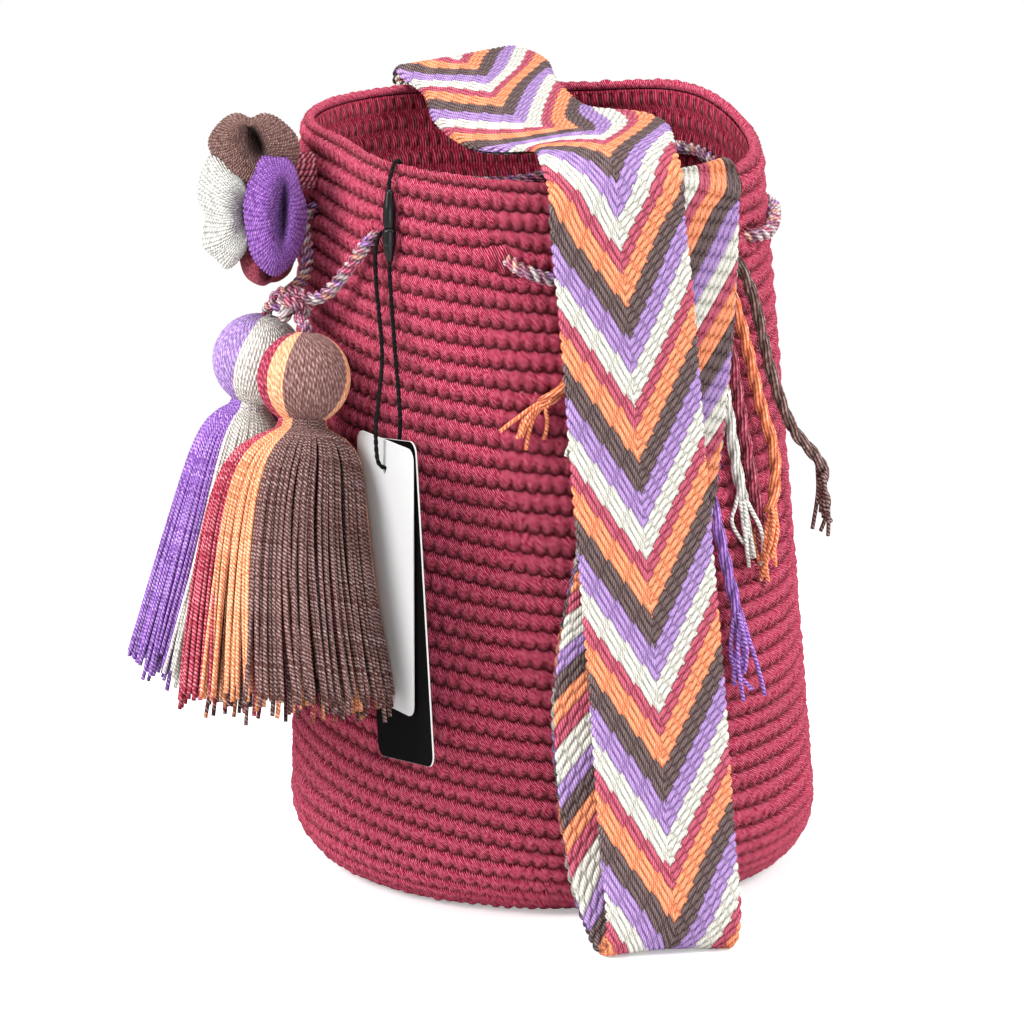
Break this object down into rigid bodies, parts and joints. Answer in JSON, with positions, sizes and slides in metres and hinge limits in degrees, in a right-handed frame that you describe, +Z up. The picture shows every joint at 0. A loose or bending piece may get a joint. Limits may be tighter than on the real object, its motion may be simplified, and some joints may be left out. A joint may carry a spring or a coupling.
{
  "type": "crossbody bag",
  "caption": "Crocheted bucket bag with an open mouth, woven chevron shoulder strap with fringed ends, threaded drawstring with tassels, a padded rosette and card tags on a string.",
  "frame": {"origin": "centre of the base's underside, on the surface that the bag stands on", "axes": "+Z up, -Y to the front where the drawstring is knotted, +X to the side that the strap falls on"},
  "size_m": [0.29, 0.2967, 0.3401],
  "materials": {
    "rose_yarn": "matt crocheted yarn",
    "raspberry_yarn": "matt twisted yarn",
    "lilac_yarn": "matt twisted yarn",
    "white_yarn": "matt twisted yarn",
    "orange_yarn": "matt twisted yarn",
    "brown_yarn": "matt twisted yarn",
    "black_string": "matt twisted string",
    "black_plastic": "satin",
    "white_card": "smooth card",
    "black_card": "smooth card"
  },
  "bodies": {
    "bag": {"bag_body": "rose_yarn", "drawstring": "lilac_yarn", "drawstring_knot": "raspberry_yarn", "rosette_tie": "raspberry_yarn", "rosette_lilac_lobe": "lilac_yarn", "rosette_brown_lobe": "brown_yarn", "rosette_raspberry_lobe": "raspberry_yarn", "rosette_white_lobe": "white_yarn", "rosette_orange_lobe": "orange_yarn", "shoulder_strap": "lilac_yarn", "front_fringe_brown": "brown_yarn", "front_fringe_orange": "orange_yarn", "front_fringe_raspberry": "raspberry_yarn", "front_fringe_white": "white_yarn", "front_fringe_lilac": "lilac_yarn", "front_fringe_short_white": "white_yarn", "front_fringe_short_orange": "orange_yarn", "rear_fringe_brown": "brown_yarn", "rear_fringe_orange": "orange_yarn", "rear_fringe_raspberry": "raspberry_yarn", "rear_fringe_white": "white_yarn", "rear_fringe_lilac": "lilac_yarn", "tag_string": "black_string", "seal_socket": "black_plastic", "seal_plug": "black_plastic"},
    "left_tassel": {"left_tassel_stem": "lilac_yarn", "left_tassel_head": "lilac_yarn", "left_tassel_binding": "lilac_yarn", "left_tassel_skirt": "lilac_yarn"},
    "right_tassel": {"right_tassel_stem": "brown_yarn", "right_tassel_head": "brown_yarn", "right_tassel_binding": "brown_yarn", "right_tassel_skirt": "brown_yarn"},
    "white_card": {"white_tag": "white_card"},
    "black_card": {"black_tag": "black_card"}
  },
  "joints": [
    {"name": "left_tassel_swing", "type": "hinge", "parent": "bag", "child": "left_tassel", "pos_m": [-0.01953, -0.12343, 0.24926], "axis": [-0.9744, 0.225, 0], "range_deg": [0, 45]},
    {"name": "right_tassel_swing", "type": "hinge", "parent": "bag", "child": "right_tassel", "pos_m": [-0.00166, -0.12308, 0.24642], "axis": [-0.9816, -0.1908, 0], "range_deg": [0, 45]},
    {"name": "white_tag_swing", "type": "hinge", "parent": "bag", "child": "white_card", "pos_m": [0.0528, -0.11219, 0.19125], "axis": [-0.0523, -0.9986, 0], "range_deg": [0, 50]},
    {"name": "black_tag_swing", "type": "hinge", "parent": "bag", "child": "black_card", "pos_m": [0.0529, -0.11019, 0.19125], "axis": [-0.0523, -0.9986, 0], "range_deg": [0, 45]}
  ]
}
